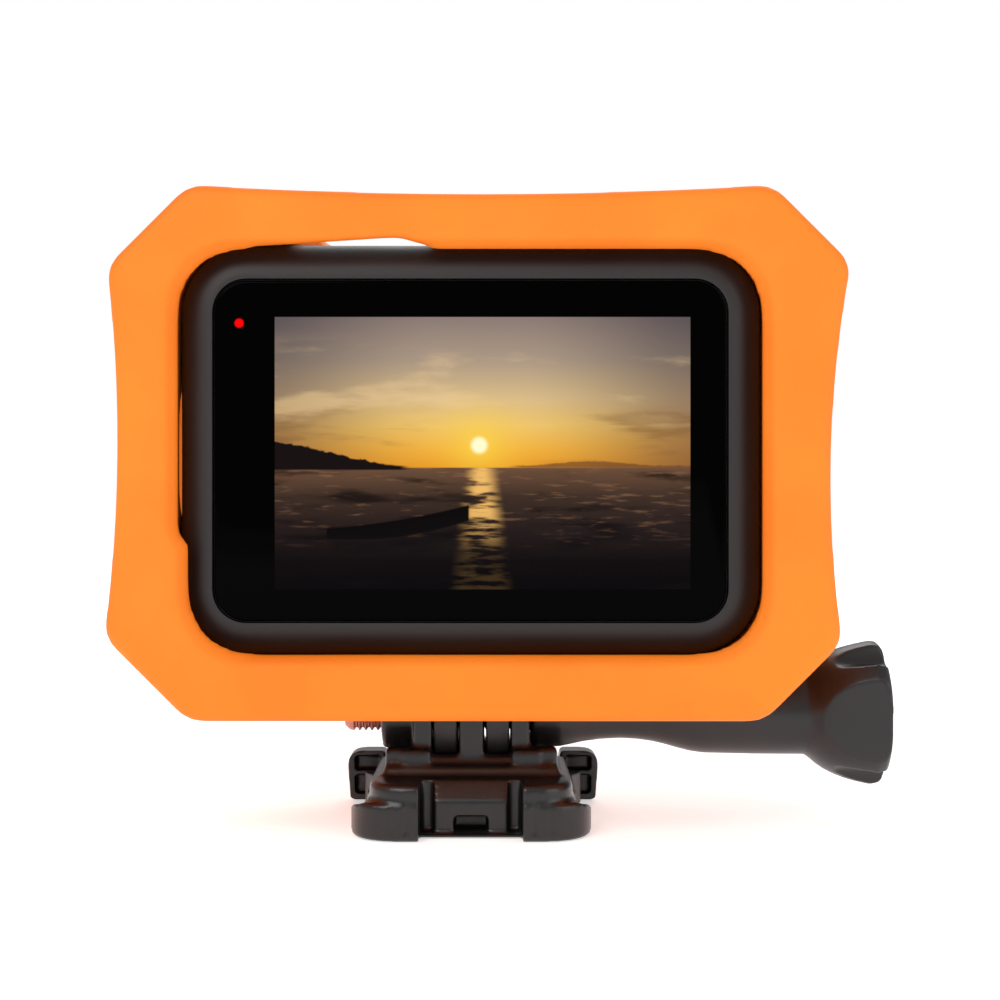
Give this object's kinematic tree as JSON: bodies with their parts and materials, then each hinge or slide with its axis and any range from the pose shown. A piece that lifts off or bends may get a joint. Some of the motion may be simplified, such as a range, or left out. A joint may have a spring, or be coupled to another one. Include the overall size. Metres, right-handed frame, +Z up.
{
  "type": "action camera",
  "caption": "Action camera in a thick foam float frame, with a rear touch screen, on a quick-release buckle with a pronged tilt joint and a clamping thumbscrew.",
  "frame": {"origin": "centre of the buckle's flat underside, under the thumbscrew axis", "axes": "+X along the thumbscrew towards its knob, +Y where the lens looks, so the rear screen faces -Y, +Z up"},
  "size_m": [0.0977, 0.04, 0.0799],
  "materials": {
    "float_foam": "closed-cell foam with a smooth matte skin",
    "housing": "soft-touch matte",
    "fingers": "fine moulded matte",
    "screen_glass": "polished black",
    "display": "lit picture panel",
    "status_light": "lit red lens",
    "lens_trim": "satin",
    "lens_glass": "coated optical glass",
    "circuit": "circuit board",
    "copper": "rolled copper alloy sheet",
    "cell": "wrapped cells and moulded parts",
    "bright_steel": "plated steel",
    "seal": "moulded rubber",
    "buttons": "satin",
    "buckle": "polished moulding",
    "knob": "fine moulded satin"
  },
  "bodies": {
    "buckle": {"buckle_base": "buckle", "captive_nut": "bright_steel"},
    "camera_head": {"float_frame": "float_foam", "front_housing": "housing", "rear_housing": "housing", "rear_glass": "screen_glass", "rear_display": "display", "rear_status_light": "status_light", "front_glass": "screen_glass", "front_display": "display", "front_status_light": "status_light", "lens_barrel": "lens_trim", "front_lens": "lens_glass", "rear_lens": "lens_glass", "image_sensor": "circuit", "main_board": "circuit", "heat_spreader": "copper", "battery": "cell", "memory_card": "cell", "usb_socket": "bright_steel", "speaker": "cell", "front_microphone": "cell", "side_door": "housing", "door_seal": "seal", "shutter_switch": "cell", "mode_switch": "cell", "left_finger": "fingers", "right_finger": "fingers", "left_finger_pin": "bright_steel", "right_finger_pin": "bright_steel", "housing_screw_1": "bright_steel", "housing_screw_2": "bright_steel", "housing_screw_3": "bright_steel", "housing_screw_4": "bright_steel"},
    "thumbscrew": {"thumbscrew_knob": "knob", "thumbscrew_bolt": "bright_steel"},
    "left_arm": {"left_spring_arm": "buckle"},
    "right_arm": {"right_spring_arm": "buckle"},
    "lens_port_cover": {"lens_cover": "lens_trim", "lens_cover_glass": "screen_glass"},
    "shutter": {"shutter_button": "buttons"},
    "mode": {"mode_button": "buttons"}
  },
  "joints": [
    {"name": "camera_tilt", "type": "hinge", "parent": "buckle", "child": "camera_head", "pos_m": [0, 0, 0.014], "axis": [1, 0, 0], "range_deg": [-20, 20]},
    {"name": "thumbscrew_turn", "type": "hinge", "parent": "buckle", "child": "thumbscrew", "pos_m": [0, 0, 0.014], "axis": [1, 0, 0], "range_deg": [0, 720]},
    {"name": "left_arm_squeeze", "type": "hinge", "parent": "buckle", "child": "left_arm", "pos_m": [-0.0122, -0.007, 0.0025], "axis": [0, 0, 1], "range_deg": [-5, 0], "stiffness_Nm_per_rad": 1},
    {"name": "right_arm_squeeze", "type": "hinge", "parent": "buckle", "child": "right_arm", "pos_m": [0.0122, -0.007, 0.0025], "axis": [0, 0, 1], "range_deg": [0, 5], "stiffness_Nm_per_rad": 1},
    {"name": "lens_cover_turn", "type": "hinge", "parent": "camera_head", "child": "lens_port_cover", "pos_m": [-0.0175, 0.0108, 0.0565], "axis": [0, 1, 0], "range_deg": [0, 45]},
    {"name": "shutter_press", "type": "slide", "parent": "camera_head", "child": "shutter", "axis": [0, 0, -1], "range_m": [0, 0.0008], "stiffness_N_per_m": 1500},
    {"name": "mode_press", "type": "slide", "parent": "camera_head", "child": "mode", "axis": [1, 0, 0], "range_m": [0, 0.0006], "stiffness_N_per_m": 1500}
  ]
}
